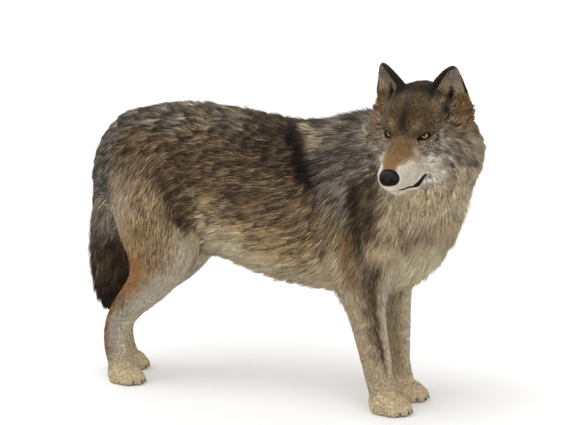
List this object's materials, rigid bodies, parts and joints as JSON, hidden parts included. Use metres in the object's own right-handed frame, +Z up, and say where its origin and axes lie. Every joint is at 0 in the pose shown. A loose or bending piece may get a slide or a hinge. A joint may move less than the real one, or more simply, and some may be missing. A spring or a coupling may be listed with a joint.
{
  "type": "grey wolf",
  "caption": "Life-size standing grey wolf in thick winter coat, head turned to its right, mouth closed, tail hanging; a still display model that rests on its four paws.",
  "frame": {"origin": "on the floor, under the middle of the whole model's box", "axes": "+X forward along the wolf's body, +Y to the wolf's left, +Z up; the head is turned toward -Y"},
  "size_m": [1.1208, 0.5072, 0.8859],
  "materials": {
    "coat": "matt winter fur, dark-tipped guard hairs over buff underfur",
    "pale_coat": "matt short cream and buff fur",
    "dark_coat": "matt grey-brown fur with black tips",
    "nose_pad": "moist pebbled black skin",
    "eye": "clear cornea over amber iris and black pupil",
    "claw": "dark horn, slightly glossy"
  },
  "bodies": {
    "root": {"trunk": "coat", "neck": "coat", "head": "coat", "muzzle": "pale_coat", "lower_jaw": "pale_coat", "ear_left": "dark_coat", "ear_right": "dark_coat", "tail": "dark_coat", "forearm_left": "pale_coat", "pastern_left": "pale_coat", "paw_fore_left": "pale_coat", "thigh_left": "coat", "shank_left": "pale_coat", "metatarsus_left": "pale_coat", "paw_hind_left": "pale_coat", "forearm_right": "pale_coat", "pastern_right": "pale_coat", "paw_fore_right": "pale_coat", "thigh_right": "coat", "shank_right": "pale_coat", "metatarsus_right": "pale_coat", "paw_hind_right": "pale_coat", "nose": "nose_pad", "eye_left": "eye", "eye_right": "eye", "claw_fore_left_1": "claw", "claw_fore_left_2": "claw", "claw_fore_left_3": "claw", "claw_fore_left_4": "claw", "claw_fore_right_1": "claw", "claw_fore_right_2": "claw", "claw_fore_right_3": "claw", "claw_fore_right_4": "claw", "claw_hind_left_1": "claw", "claw_hind_left_2": "claw", "claw_hind_left_3": "claw", "claw_hind_left_4": "claw", "claw_hind_right_1": "claw", "claw_hind_right_2": "claw", "claw_hind_right_3": "claw", "claw_hind_right_4": "claw"}
  },
  "joints": []
}
